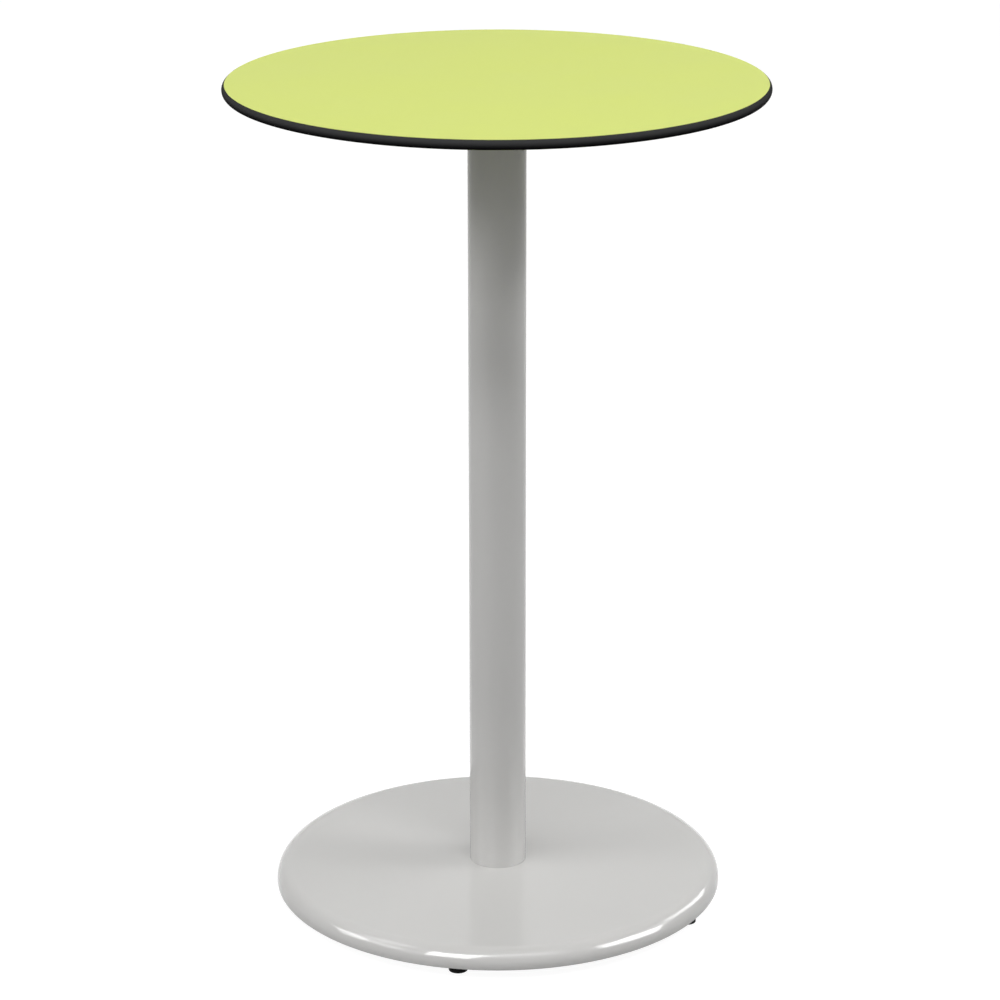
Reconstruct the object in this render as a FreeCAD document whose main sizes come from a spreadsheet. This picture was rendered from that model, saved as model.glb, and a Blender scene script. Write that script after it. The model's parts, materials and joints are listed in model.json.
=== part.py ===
import FreeCAD, Part
import math
import os
import Sketcher
from FreeCAD import Vector

# Round standing-height meeting table: a compact-laminate top on a cast spider, a tube column
# drawn together by a central tie rod, and a pressed steel base cover over a cast iron disc that
# stands on levelling feet. Millimetres, +Z up, origin on the floor below the column.

doc = FreeCAD.newDocument("standing_meeting_table")

# ---------------------------------------------------------------- driving dimensions

DRIVING = [
    ("table_height", "1110", "floor to the tabletop's upper face"),
    ("top_diameter", "700", "over the crowned edge"),
    ("top_thickness", "13", "compact laminate, decor faces included"),
    ("edge_bulge", "4", "crown of the edge, beyond its upper and lower corners"),
    ("edge_corner", "3", "rounding between the crowned edge and each face"),
    ("decor_thickness", "0.3", "coloured face sheet, one on each side of the black core"),
    ("insert_diameter", "8", "threaded insert pressed into the core"),
    ("insert_length", "9", "threaded insert"),
    ("insert_fit", "0.05", "radial gap between insert and core"),
    ("insert_end_gap", "0.5", "left at the bottom of the blind hole"),
    ("screw_diameter", "6", "screw that holds the spider to the top"),
    ("screw_engagement", "7", "screw length inside the top"),
    ("screw_head_diameter", "12", "button head"),
    ("screw_head_height", "3.6", "button head"),
    ("screw_head_rounding", "2", "button head"),
    ("screw_socket_flats", "4", "hexagon socket across flats"),
    ("screw_socket_depth", "2.2", "hexagon socket"),
    ("screw_washer_diameter", "14", "plain washer below each arm"),
    ("screw_washer_thickness", "1.6", "plain washer below each arm"),
    ("screw_clearance", "0.3", "radial gap round the screw in arm and washer"),
    ("screw_inner_radius", "150", "first screw of each arm, from the axis"),
    ("screw_tip_inset", "18", "end of an arm to its second screw"),
    ("thread_fit", "0.05", "radial gap between a screw and its thread, drawn smooth"),
    ("spider_arms", "4", "arms of the spider"),
    ("spider_arm_reach", "250", "axis to the rounded end of an arm"),
    ("spider_arm_width", "40", "width of an arm"),
    ("spider_thickness", "8", "plate and arms"),
    ("spider_plate_diameter", "130", "round middle of the spider"),
    ("rib_width", "8", "rib below each arm"),
    ("rib_depth", "14", "rib at the collar, below the arm"),
    ("rib_reach", "122", "axis to the place where the rib ends"),
    ("rib_tip_depth", "2", "rib where it ends"),
    ("collar_wall", "6", "collar round the head of the column"),
    ("collar_depth", "18", "collar below the plate"),
    ("tube_fit", "0.2", "radial gap between column tube and what centres it"),
    ("column_diameter", "76", "outside of the column tube"),
    ("column_wall", "2", "column tube"),
    ("centring_disc_thickness", "8", "disc inside the foot of the column"),
    ("centring_disc_chamfer", "1.5", "lead-in for the tube"),
    ("rod_diameter", "12", "tie rod"),
    ("rod_clearance", "0.5", "radial gap round the tie rod"),
    ("rod_chamfer", "1", "ends of the tie rod"),
    ("rod_overrun", "1.5", "rod beyond each nut"),
    ("rod_headroom", "6", "free height above the rod, below the tabletop"),
    ("rod_nut_flats", "18", "hexagon nut across flats"),
    ("rod_nut_height", "10", "hexagon nut"),
    ("hex_face_share", "0.94", "round bearing face of a hexagon, of its size across flats"),
    ("rod_washer_diameter", "30", "washer under each rod nut"),
    ("rod_washer_thickness", "2.5", "washer under each rod nut"),
    ("well_gap", "3", "radial gap round the washers in their wells"),
    ("well_floor", "12", "spider metal below the upper nut"),
    ("hub_floor", "6", "cast iron above the lower nut"),
    ("base_diameter", "603", "outside of the base cover"),
    ("base_rounding", "22", "shoulder between the cover's face and its rim"),
    ("rim_straight", "3", "upright lip below the shoulder"),
    ("cover_wall", "2", "pressed sheet"),
    ("floor_clearance", "8", "floor to the lip, feet screwed fully in"),
    ("ballast_recess", "3", "underside of the ballast above the lip"),
    ("ballast_thickness", "12", "cast iron disc"),
    ("ballast_edge_gap", "2", "between the disc and the cover's inner wall"),
    ("ballast_chamfer", "2", "upper edge of the disc"),
    ("hub_diameter", "120", "raised middle of the ballast below the column"),
    ("support_ring_width", "14", "rubber ring between ballast and cover"),
    ("support_ring_inset", "2", "ring inside the flat part of the cover"),
    ("foot_count", "5", "levelling feet"),
    ("foot_first_angle", "-100.4", "degrees from +X to the first foot"),
    ("foot_inset", "15.5", "rim of the cover to the axis of a foot"),
    ("pad_diameter", "25", "plastic pad of a foot"),
    ("pad_height", "6", "plastic pad of a foot"),
    ("pad_lower_rounding", "1", "edge on the floor"),
    ("pad_upper_rounding", "2", "upper edge"),
    ("stud_diameter", "8", "threaded stud of a foot"),
    ("stud_overrun", "1", "stud above the ballast, screwed fully in"),
    ("stud_chamfer", "0.8", "tip of the stud"),
    ("stud_hex_flats", "13", "spanner collar of the stud"),
    ("pivot_diameter", "6", "pin of the stud inside the pad"),
    ("pivot_length", "4", "pin of the stud inside the pad"),
    ("pivot_fit", "0.05", "radial gap between pin and pad"),
    ("pivot_end_gap", "0.3", "below the pin"),
]

sizes = doc.addObject("Spreadsheet::Sheet", "sizes")
for line, (alias, number, note) in enumerate(DRIVING, start=1):
    sizes.set(f"A{line}", note)
    sizes.set(f"B{line}", number)
    sizes.setAlias(f"B{line}", alias)

# ---------------------------------------------------------------- sizes that follow from them

FOLLOWING = [
    ("top_underside", "sizes.table_height - sizes.top_thickness"),
    ("top_middle", "sizes.table_height - sizes.top_thickness / 2"),
    ("edge_corner_reach", "sizes.top_diameter / 2 - sizes.edge_bulge"),
    ("crown_radius", "((sizes.top_thickness / 2) ^ 2 + sizes.edge_bulge ^ 2)"
     " / (2 * sizes.edge_bulge)"),
    ("crown_centre", "sizes.top_diameter / 2 - crown_radius"),
    ("core_low", "top_underside + sizes.decor_thickness"),
    ("core_high", "sizes.table_height - sizes.decor_thickness"),
    ("insert_hole", "sizes.insert_diameter + 2 * sizes.insert_fit"),
    ("insert_hole_end", "top_underside + sizes.insert_end_gap"
     " + max(sizes.insert_length, sizes.screw_engagement)"),
    ("spider_underside", "top_underside - sizes.spider_thickness"),
    ("screw_seat", "spider_underside - sizes.screw_washer_thickness"),
    ("screw_face", "screw_seat - sizes.screw_head_height"),
    ("screw_end", "top_underside + sizes.screw_engagement"),
    ("screw_hole", "sizes.screw_diameter + 2 * sizes.screw_clearance"),
    ("screw_outer_radius", "sizes.spider_arm_reach - sizes.screw_tip_inset"),
    ("well_diameter", "sizes.rod_washer_diameter + 2 * sizes.well_gap"),
    ("well_seat", "top_underside - sizes.rod_headroom - sizes.rod_overrun"
     " - sizes.rod_nut_height - sizes.rod_washer_thickness"),
    ("spigot_end", "well_seat - sizes.well_floor"),
    ("spigot_diameter", "sizes.column_diameter - 2 * sizes.column_wall - 2 * sizes.tube_fit"),
    ("collar_bore", "sizes.column_diameter + 2 * sizes.tube_fit"),
    ("collar_diameter", "collar_bore + 2 * sizes.collar_wall"),
    ("rod_hole", "sizes.rod_diameter + 2 * sizes.rod_clearance"),
    ("base_top", "sizes.floor_clearance + sizes.rim_straight + sizes.base_rounding"),
    ("cover_ceiling", "base_top - sizes.cover_wall"),
    ("shoulder_centre", "sizes.floor_clearance + sizes.rim_straight"),
    ("flat_radius", "sizes.base_diameter / 2 - sizes.base_rounding"),
    ("ballast_low", "sizes.floor_clearance + sizes.ballast_recess"),
    ("ballast_high", "ballast_low + sizes.ballast_thickness"),
    ("ballast_radius", "flat_radius - sizes.ballast_edge_gap"
     " + sqrt((sizes.base_rounding - sizes.cover_wall) ^ 2"
     " - max(0, ballast_high - shoulder_centre) ^ 2)"),
    ("hub_seat", "cover_ceiling - sizes.hub_floor"),
    ("rod_low", "hub_seat - sizes.rod_washer_thickness - sizes.rod_nut_height"
     " - sizes.rod_overrun"),
    ("rod_high", "top_underside - sizes.rod_headroom"),
    ("ring_outer", "flat_radius - sizes.support_ring_inset"),
    ("foot_circle", "sizes.base_diameter / 2 - sizes.foot_inset"),
    ("stud_hole", "sizes.stud_diameter + 2 * sizes.thread_fit"),
    ("stud_high", "ballast_high + sizes.stud_overrun"),
]

follow = doc.addObject("Spreadsheet::Sheet", "follow")
for line, (alias, formula) in enumerate(FOLLOWING, start=1):
    follow.set(f"B{line}", "=" + formula)
    follow.setAlias(f"B{line}", alias)
doc.recompute()

# ---------------------------------------------------------------- drawing helpers

UP = Vector(0, 0, 1)
NEAR = 0.001     # two lengths closer than this are the same length

slate = doc.addObject("Spreadsheet::Sheet", "slate")


# The number that an expression in the sheets' names stands for. Sketches are drawn with these
# numbers, and the same expressions then hold them there.
def worked_out(expression):
    slate.set("A1", f"={expression}")
    slate.recompute()
    return slate.get("A1")


def new_body(label):
    body = doc.addObject("PartDesign::Body", label)
    body.Label = label
    return body


def origin_of(body, role):
    return next(item for item in body.Origin.OriginFeatures if item.Role == role)


# A sketch on one of the body's own planes, raised to a level along that plane's normal.
def new_sketch(body, name, level=None, role="XY_Plane"):
    sketch = body.newObject("Sketcher::SketchObject", name)
    sketch.AttachmentSupport = [(origin_of(body, role), "")]
    sketch.MapMode = "FlatFace"
    if level:
        sketch.setExpression("AttachmentOffset.Base.z", level)
    return sketch


# Adds a dimension, given as a kind, what it measures and an expression for its size.
def measure(sketch, kind, *ends, size):
    index = sketch.addConstraint(Sketcher.Constraint(kind, *ends, worked_out(size)))
    sketch.setExpression(f"Constraints[{index}]", size)


# Holds a point of the sketch at (x, y); None keeps it on that axis of the sketch.
def place(sketch, item, point, x=None, y=None):
    if x is None and y is None:
        sketch.addConstraint(Sketcher.Constraint("Coincident", item, point, -1, 1))
        return
    if x is None:
        sketch.addConstraint(Sketcher.Constraint("PointOnObject", item, point, -2))
    else:
        measure(sketch, "DistanceX", -1, 1, item, point, size=x)
    if y is None:
        sketch.addConstraint(Sketcher.Constraint("PointOnObject", item, point, -1))
    else:
        measure(sketch, "DistanceY", -1, 1, item, point, size=y)


def spot(x, y):
    return Vector(worked_out(x) if x else 0, worked_out(y) if y else 0, 0)


def add_circle(sketch, diameter, x=None, y=None, guide=False):
    drawn = Part.Circle(spot(x, y), UP, worked_out(diameter) / 2)
    circle = sketch.addGeometry(drawn, guide)
    place(sketch, circle, 3, x, y)
    measure(sketch, "Diameter", circle, size=diameter)
    return circle


# Straight lines from corner to corner and back to the first, joined end to end.
def add_loop(sketch, corners):
    lines = []
    for start, end in zip(corners, corners[1:] + corners[:1]):
        lines.append(sketch.addGeometry(Part.LineSegment(start, end), False))
    for line, following in zip(lines, lines[1:] + lines[:1]):
        sketch.addConstraint(Sketcher.Constraint("Coincident", line, 2, following, 1))
    return lines


# A closed outline whose corners are given as (x, y) expressions.
def add_outline(sketch, corners):
    lines = add_loop(sketch, [spot(x, y) for x, y in corners])
    for line, (x, y) in zip(lines, corners):
        place(sketch, line, 1, x, y)


# A regular hexagon with two sides square to the sketch's X axis, given across its flats.
def add_hexagon(sketch, flats, x=None):
    guide = add_circle(sketch, f"{flats} / cos(30)", x, guide=True)
    corner = Vector(worked_out(f"{flats} / cos(30) / 2"), 0, 0)
    corners = [spot(x, None) + FreeCAD.Rotation(UP, 60 * n - 30).multVec(corner) for n in range(6)]
    sides = add_loop(sketch, corners)
    for side in sides:
        sketch.addConstraint(Sketcher.Constraint("PointOnObject", side, 1, guide))
    for side in sides[1:]:
        sketch.addConstraint(Sketcher.Constraint("Equal", sides[0], side))
    sketch.addConstraint(Sketcher.Constraint("Vertical", sides[0]))


def add_pad(body, name, sketch, length, down=False, side="One side"):
    pad = body.newObject("PartDesign::Pad", name)
    pad.Profile = sketch
    pad.SideType = side
    pad.setExpression("Length", length)
    pad.Reversed = down
    return pad


def add_pocket(body, name, sketch, length, up=False):
    pocket = body.newObject("PartDesign::Pocket", name)
    pocket.Profile = sketch
    pocket.setExpression("Length", length)
    pocket.Reversed = up
    return pocket


def add_turned(body, kind, name, sketch):
    turned = body.newObject(kind, name)
    turned.Profile = sketch
    turned.ReferenceAxis = (sketch, ["V_Axis"])
    turned.Angle = 360
    return turned


def add_polar(body, name, originals, count):
    pattern = body.newObject("PartDesign::PolarPattern", name)
    pattern.Originals = originals
    pattern.Axis = (origin_of(body, "Z_Axis"), [""])
    pattern.Angle = 360
    pattern.setExpression("Occurrences", count)
    body.Tip = pattern
    return pattern


# The names of a shape's round edges of one radius, flat at one level.
def round_edges(shape, radius, level):
    names = []
    for number, edge in enumerate(shape.Edges, start=1):
        if edge.Curve.TypeId != "Part::GeomCircle":
            continue
        centre = edge.Curve.Center
        flat = abs(abs(edge.Curve.Axis.z) - 1) < NEAR
        if flat and abs(edge.Curve.Radius - radius) < NEAR and abs(centre.z - level) < NEAR:
            names.append(f"Edge{number}")
    return names


def dress(body, kind, name, edges, size):
    base = body.Tip
    feature = body.newObject(kind, name)
    feature.Base = (base, edges)
    feature.setExpression("Radius" if kind.endswith("Fillet") else "Size", size)
    doc.recompute()
    return feature


# A flat ring or disc lying between two levels, centred on the axis.
def ring_body(label, outer, bore, low, thickness):
    body = new_body(label)
    outline = new_sketch(body, f"{label}_outline", low)
    add_circle(outline, outer)
    add_circle(outline, bore)
    add_pad(body, f"{label}_plate", outline, thickness)
    doc.recompute()
    return body


# ---------------------------------------------------------------- tabletop

# One layer of the slab, cut out of the whole slab between two levels; a level of None is the
# slab's own face. The slab's edge is a crown with rounded corners.
def slab_layer(label, low, high):
    body = new_body(label)
    outline = new_sketch(body, f"{label}_outline", role="XZ_Plane")
    low_axis = spot(None, "follow.top_underside")
    low_corner = spot("follow.edge_corner_reach", "follow.top_underside")
    high_corner = spot("follow.edge_corner_reach", "sizes.table_height")
    high_axis = spot(None, "sizes.table_height")
    rim = spot("sizes.top_diameter / 2", "follow.top_middle")
    lower = outline.addGeometry(Part.LineSegment(low_axis, low_corner), False)
    crown = outline.addGeometry(Part.Arc(low_corner, rim, high_corner), False)
    upper = outline.addGeometry(Part.LineSegment(high_corner, high_axis), False)
    axis = outline.addGeometry(Part.LineSegment(high_axis, low_axis), False)
    for line, following in ((lower, crown), (crown, upper), (upper, axis), (axis, lower)):
        outline.addConstraint(Sketcher.Constraint("Coincident", line, 2, following, 1))
    outline.addConstraint(Sketcher.Constraint("Horizontal", lower))
    outline.addConstraint(Sketcher.Constraint("Horizontal", upper))
    place(outline, lower, 1, None, "follow.top_underside")
    place(outline, axis, 1, None, "sizes.table_height")
    place(outline, crown, 3, "follow.crown_centre", "follow.top_middle")
    measure(outline, "Radius", crown, size="follow.crown_radius")
    add_turned(body, "PartDesign::Revolution", f"{label}_turned", outline)
    doc.recompute()
    corners = [name for level in (follow.top_underside, sizes.table_height)
               for name in round_edges(body.Shape, follow.edge_corner_reach, level)]
    dress(body, "PartDesign::Fillet", f"{label}_corners", corners, "sizes.edge_corner")
    for side, level in (("lower", low), ("upper", high)):
        if level:
            cut = new_sketch(body, f"{label}_{side}_level", level)
            add_circle(cut, "sizes.top_diameter")
            add_pocket(body, f"{label}_{side}_cut", cut, "sizes.top_thickness", up=side == "upper")
    doc.recompute()
    return body


# The two screws of one arm, and all that fits round them, share these places.
def add_screw_circles(sketch, diameter):
    add_circle(sketch, diameter, "sizes.screw_inner_radius")
    add_circle(sketch, diameter, "follow.screw_outer_radius")


def drill_for_inserts(body):
    holes = new_sketch(body, f"{body.Label}_insert_holes", "follow.top_underside")
    add_screw_circles(holes, "follow.insert_hole")
    depth = "follow.insert_hole_end - follow.top_underside"
    pocket = add_pocket(body, f"{body.Label}_insert_pocket", holes, depth, up=True)
    add_polar(body, f"{body.Label}_insert_pattern", [pocket], "sizes.spider_arms")
    doc.recompute()


def make_tabletop():
    slab_layer("top_decor", "follow.core_high", None)
    drill_for_inserts(slab_layer("top_core", "follow.core_low", "follow.core_high"))
    drill_for_inserts(slab_layer("underside_decor", None, "follow.core_low"))


def make_inserts():
    body = new_body("top_inserts")
    outline = new_sketch(body, "insert_outline", "follow.top_underside")
    add_screw_circles(outline, "sizes.insert_diameter")
    add_screw_circles(outline, "sizes.screw_diameter + 2 * sizes.thread_fit")
    sleeves = add_pad(body, "insert_sleeves", outline, "sizes.insert_length")
    add_polar(body, "insert_pattern", [sleeves], "sizes.spider_arms")
    doc.recompute()


def make_screws():
    body = new_body("top_screws")
    shanks = new_sketch(body, "screw_shank_outline", "follow.screw_seat")
    add_screw_circles(shanks, "sizes.screw_diameter")
    shank = add_pad(body, "screw_shanks", shanks, "follow.screw_end - follow.screw_seat")
    heads = new_sketch(body, "screw_head_outline", "follow.screw_seat")
    add_screw_circles(heads, "sizes.screw_head_diameter")
    head = add_pad(body, "screw_heads", heads, "sizes.screw_head_height", down=True)
    sockets = new_sketch(body, "screw_socket_outline", "follow.screw_face")
    add_hexagon(sockets, "sizes.screw_socket_flats", "sizes.screw_inner_radius")
    add_hexagon(sockets, "sizes.screw_socket_flats", "follow.screw_outer_radius")
    socket = add_pocket(body, "screw_sockets", sockets, "sizes.screw_socket_depth", up=True)
    add_polar(body, "screw_pattern", [shank, head, socket], "sizes.spider_arms")
    doc.recompute()
    rims = round_edges(body.Shape, sizes.screw_head_diameter / 2, follow.screw_face)
    dress(body, "PartDesign::Fillet", "screw_head_rounding", rims, "sizes.screw_head_rounding")


def make_screw_washers():
    body = new_body("top_screw_washers")
    outline = new_sketch(body, "screw_washer_outline", "follow.screw_seat")
    add_screw_circles(outline, "sizes.screw_washer_diameter")
    add_screw_circles(outline, "follow.screw_hole")
    washers = add_pad(body, "screw_washer_plates", outline, "sizes.screw_washer_thickness")
    add_polar(body, "screw_washer_pattern", [washers], "sizes.spider_arms")
    doc.recompute()


# ---------------------------------------------------------------- spider

# One arm: two straight sides from the axis and a round end.
def add_arm_outline(sketch):
    half = sizes.spider_arm_width / 2
    middle = sizes.spider_arm_reach - half
    tip = Part.ArcOfCircle(Part.Circle(Vector(middle, 0, 0), UP, half), -math.pi / 2, math.pi / 2)
    arc = sketch.addGeometry(tip, False)
    corners = [Vector(middle, half, 0), Vector(0, half, 0), Vector(0, -half, 0),
               Vector(middle, -half, 0)]
    sides = []
    for start, end in zip(corners, corners[1:]):
        sides.append(sketch.addGeometry(Part.LineSegment(start, end), False))
    for line, following in zip([arc] + sides, sides + [arc]):
        sketch.addConstraint(Sketcher.Constraint("Coincident", line, 2, following, 1))
    sketch.addConstraint(Sketcher.Constraint("PointOnObject", sides[1], 1, -2))
    sketch.addConstraint(Sketcher.Constraint("PointOnObject", sides[1], 2, -2))
    sketch.addConstraint(Sketcher.Constraint("Horizontal", sides[0]))
    sketch.addConstraint(Sketcher.Constraint("Horizontal", sides[2]))
    place(sketch, arc, 3, "sizes.spider_arm_reach - sizes.spider_arm_width / 2")
    sketch.addConstraint(Sketcher.Constraint("Vertical", arc, 3, arc, 1))
    sketch.addConstraint(Sketcher.Constraint("Vertical", arc, 3, arc, 2))
    measure(sketch, "Radius", arc, size="sizes.spider_arm_width / 2")


def make_spider():
    body = new_body("top_spider")
    disc = new_sketch(body, "spider_disc_outline", "follow.spider_underside")
    add_circle(disc, "sizes.spider_plate_diameter")
    add_pad(body, "spider_disc", disc, "sizes.spider_thickness")
    arm_outline = new_sketch(body, "spider_arm_outline", "follow.spider_underside")
    add_arm_outline(arm_outline)
    arm = add_pad(body, "spider_arm", arm_outline, "sizes.spider_thickness")
    # the rib starts inside the collar's wall, tapers outwards and ends short of the screws
    rib_outline = new_sketch(body, "spider_rib_outline", role="XZ_Plane")
    rib_root = "follow.collar_bore / 2 + sizes.collar_wall / 2"
    rib_top = "follow.spider_underside + sizes.spider_thickness / 2"
    add_outline(rib_outline, [
        (rib_root, "follow.spider_underside - sizes.rib_depth"),
        ("sizes.rib_reach", "follow.spider_underside - sizes.rib_tip_depth"),
        ("sizes.rib_reach", rib_top),
        (rib_root, rib_top)])
    rib = add_pad(body, "spider_rib", rib_outline, "sizes.rib_width", side="Symmetric")
    arm_holes = new_sketch(body, "spider_screw_holes", "follow.spider_underside")
    add_screw_circles(arm_holes, "follow.screw_hole")
    drilling = add_pocket(body, "spider_screw_drilling", arm_holes, "sizes.spider_thickness", up=True)
    add_polar(body, "spider_arm_pattern", [arm, rib, drilling], "sizes.spider_arms")
    collar = new_sketch(body, "spider_collar_outline", "follow.spider_underside")
    add_circle(collar, "follow.collar_diameter")
    add_circle(collar, "follow.collar_bore")
    add_pad(body, "spider_collar", collar, "sizes.collar_depth", down=True)
    spigot = new_sketch(body, "spider_spigot_outline", "follow.spider_underside")
    add_circle(spigot, "follow.spigot_diameter")
    spigot_length = "follow.spider_underside - follow.spigot_end"
    add_pad(body, "spider_spigot", spigot, spigot_length, down=True)
    well = new_sketch(body, "spider_well_outline", "follow.top_underside")
    add_circle(well, "follow.well_diameter")
    add_pocket(body, "spider_well", well, "follow.top_underside - follow.well_seat")
    bore = new_sketch(body, "spider_rod_outline", "follow.well_seat")
    add_circle(bore, "follow.rod_hole")
    add_pocket(body, "spider_rod_hole", bore, "sizes.well_floor")
    doc.recompute()


# ---------------------------------------------------------------- column and tie rod

def make_column():
    ring_body("column_tube", "sizes.column_diameter", "sizes.column_diameter - 2 * sizes.column_wall",
              "follow.base_top", "follow.spider_underside - follow.base_top")
    disc = ring_body("column_centring_disc", "follow.spigot_diameter", "follow.rod_hole",
                     "follow.base_top", "sizes.centring_disc_thickness")
    level = follow.base_top + sizes.centring_disc_thickness
    edge = round_edges(disc.Shape, follow.spigot_diameter / 2, level)
    dress(disc, "PartDesign::Chamfer", "centring_disc_lead", edge, "sizes.centring_disc_chamfer")


def make_tie_rod():
    body = new_body("tie_rod")
    outline = new_sketch(body, "tie_rod_outline", "follow.rod_low")
    add_circle(outline, "sizes.rod_diameter")
    add_pad(body, "tie_rod_bar", outline, "follow.rod_high - follow.rod_low")
    doc.recompute()
    radius = sizes.rod_diameter / 2
    ends = round_edges(body.Shape, radius, follow.rod_low)
    ends += round_edges(body.Shape, radius, follow.rod_high)
    dress(body, "PartDesign::Chamfer", "tie_rod_ends", ends, "sizes.rod_chamfer")


# Turns a bar from an outline of (radius, level) corners and cuts a hexagon's flats on the length
# between two levels.
def turned_hexagon(label, corners, flats, low, length):
    body = new_body(label)
    outline = new_sketch(body, f"{label}_outline", role="XZ_Plane")
    add_outline(outline, corners)
    add_turned(body, "PartDesign::Revolution", f"{label}_turned", outline)
    around = new_sketch(body, f"{label}_flats", low)
    add_circle(around, f"2 * {flats}")
    add_hexagon(around, flats)
    add_pocket(body, f"{label}_milling", around, length, up=True)
    doc.recompute()
    return body


def make_rod_nut(label, low):
    flats = "sizes.rod_nut_flats"
    high = f"{low} + sizes.rod_nut_height"
    face = f"{flats} * sizes.hex_face_share / 2"
    corner = f"{flats} / 2 / cos(30)"
    turning = f"({corner} - {face}) * tan(30)"
    bore = "sizes.rod_diameter / 2 + sizes.thread_fit"
    corners = [(bore, low), (face, low), (corner, f"{low} + {turning}"),
               (corner, f"{high} - {turning}"), (face, high), (bore, high)]
    turned_hexagon(label, corners, flats, low, "sizes.rod_nut_height")


def make_rod_fasteners():
    washer = ("sizes.rod_washer_diameter", "follow.rod_hole")
    thickness = "sizes.rod_washer_thickness"
    ring_body("rod_washer_upper", *washer, "follow.well_seat", thickness)
    ring_body("rod_washer_lower", *washer, f"follow.hub_seat - {thickness}", thickness)
    make_rod_nut("rod_nut_upper", f"follow.well_seat + {thickness}")
    make_rod_nut("rod_nut_lower", "follow.rod_low + sizes.rod_overrun")


# ---------------------------------------------------------------- base

def make_base_cover():
    body = new_body("base_cover")
    disc = new_sketch(body, "cover_outline", "sizes.floor_clearance")
    add_circle(disc, "sizes.base_diameter")
    add_pad(body, "cover_block", disc, "follow.base_top - sizes.floor_clearance")
    doc.recompute()
    rim = round_edges(body.Shape, sizes.base_diameter / 2, follow.base_top)
    dress(body, "PartDesign::Fillet", "cover_shoulder", rim, "sizes.base_rounding")
    open_side = min(range(len(body.Shape.Faces)),
                    key=lambda number: body.Shape.Faces[number].CenterOfMass.z)
    shell = body.newObject("PartDesign::Thickness", "cover_shell")
    shell.Base = (body.getObject("cover_shoulder"), [f"Face{open_side + 1}"])
    shell.setExpression("Value", "sizes.cover_wall")
    shell.Reversed = True
    shell.Join = "Arc"
    hole = new_sketch(body, "cover_hole_outline", "follow.base_top")
    add_circle(hole, "follow.rod_hole")
    add_pocket(body, "cover_hole", hole, "sizes.cover_wall")
    doc.recompute()


def make_ballast():
    body = new_body("ballast_disc")
    disc = new_sketch(body, "ballast_outline", "follow.ballast_low")
    add_circle(disc, "2 * follow.ballast_radius")
    add_pad(body, "ballast_plate", disc, "sizes.ballast_thickness")
    doc.recompute()
    edge = round_edges(body.Shape, follow.ballast_radius, follow.ballast_high)
    dress(body, "PartDesign::Chamfer", "ballast_edge", edge, "sizes.ballast_chamfer")
    hub = new_sketch(body, "ballast_hub_outline", "follow.ballast_high")
    add_circle(hub, "sizes.hub_diameter")
    add_pad(body, "ballast_hub", hub, "follow.cover_ceiling - follow.ballast_high")
    nut_well = new_sketch(body, "ballast_well_outline", "follow.ballast_low")
    add_circle(nut_well, "follow.well_diameter")
    add_pocket(body, "ballast_well", nut_well, "follow.hub_seat - follow.ballast_low", up=True)
    rod_hole = new_sketch(body, "ballast_rod_outline", "follow.hub_seat")
    add_circle(rod_hole, "follow.rod_hole")
    add_pocket(body, "ballast_rod_hole", rod_hole, "sizes.hub_floor", up=True)
    foot_hole = new_sketch(body, "ballast_foot_outline", "follow.ballast_low")
    add_circle(foot_hole, "follow.stud_hole", *foot_place(0))
    drilling = add_pocket(body, "ballast_foot_hole", foot_hole, "sizes.ballast_thickness", up=True)
    add_polar(body, "ballast_foot_pattern", [drilling], "sizes.foot_count")
    doc.recompute()


def make_support_ring():
    ring_body("cover_support_ring", "2 * follow.ring_outer",
              "2 * follow.ring_outer - 2 * sizes.support_ring_width",
              "follow.ballast_high", "follow.cover_ceiling - follow.ballast_high")


# ---------------------------------------------------------------- levelling feet

# Where a foot's axis meets the floor: the feet share the base's rim evenly.
def foot_place(number):
    angle = f"sizes.foot_first_angle + {number} * 360 / sizes.foot_count"
    return f"follow.foot_circle * cos({angle})", f"follow.foot_circle * sin({angle})"


def stand_at_foot(body, number):
    x, y = foot_place(number)
    body.setExpression("Placement.Base.x", x)
    body.setExpression("Placement.Base.y", y)


def make_foot_pad(label):
    body = new_body(label)
    outline = new_sketch(body, f"{label}_outline")
    add_circle(outline, "sizes.pad_diameter")
    add_pad(body, f"{label}_block", outline, "sizes.pad_height")
    doc.recompute()
    radius = sizes.pad_diameter / 2
    lower = round_edges(body.Shape, radius, 0)
    dress(body, "PartDesign::Fillet", f"{label}_lower", lower, "sizes.pad_lower_rounding")
    upper = round_edges(body.Shape, radius, sizes.pad_height)
    dress(body, "PartDesign::Fillet", f"{label}_upper", upper, "sizes.pad_upper_rounding")
    socket = new_sketch(body, f"{label}_socket_outline", "sizes.pad_height")
    add_circle(socket, "sizes.pivot_diameter + 2 * sizes.pivot_fit")
    add_pocket(body, f"{label}_socket", socket, "sizes.pivot_length + sizes.pivot_end_gap")
    return body


def make_foot_stud(label):
    pin = "sizes.pivot_diameter / 2"
    shank = "sizes.stud_diameter / 2"
    flats = "sizes.stud_hex_flats"
    face = f"{flats} * sizes.hex_face_share / 2"
    corner = f"{flats} / 2 / cos(30)"
    turning = f"({corner} - {face}) * tan(30)"
    corners = [
        (None, "sizes.pad_height - sizes.pivot_length"),
        (pin, "sizes.pad_height - sizes.pivot_length"),
        (pin, "sizes.pad_height"),
        (face, "sizes.pad_height"),
        (corner, f"sizes.pad_height + {turning}"),
        (corner, "follow.ballast_low"),
        (shank, "follow.ballast_low"),
        (shank, "follow.stud_high - sizes.stud_chamfer"),
        (f"{shank} - sizes.stud_chamfer", "follow.stud_high"),
        (None, "follow.stud_high")]
    collar = "follow.ballast_low - sizes.pad_height"
    return turned_hexagon(label, corners, flats, "sizes.pad_height", collar)


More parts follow.
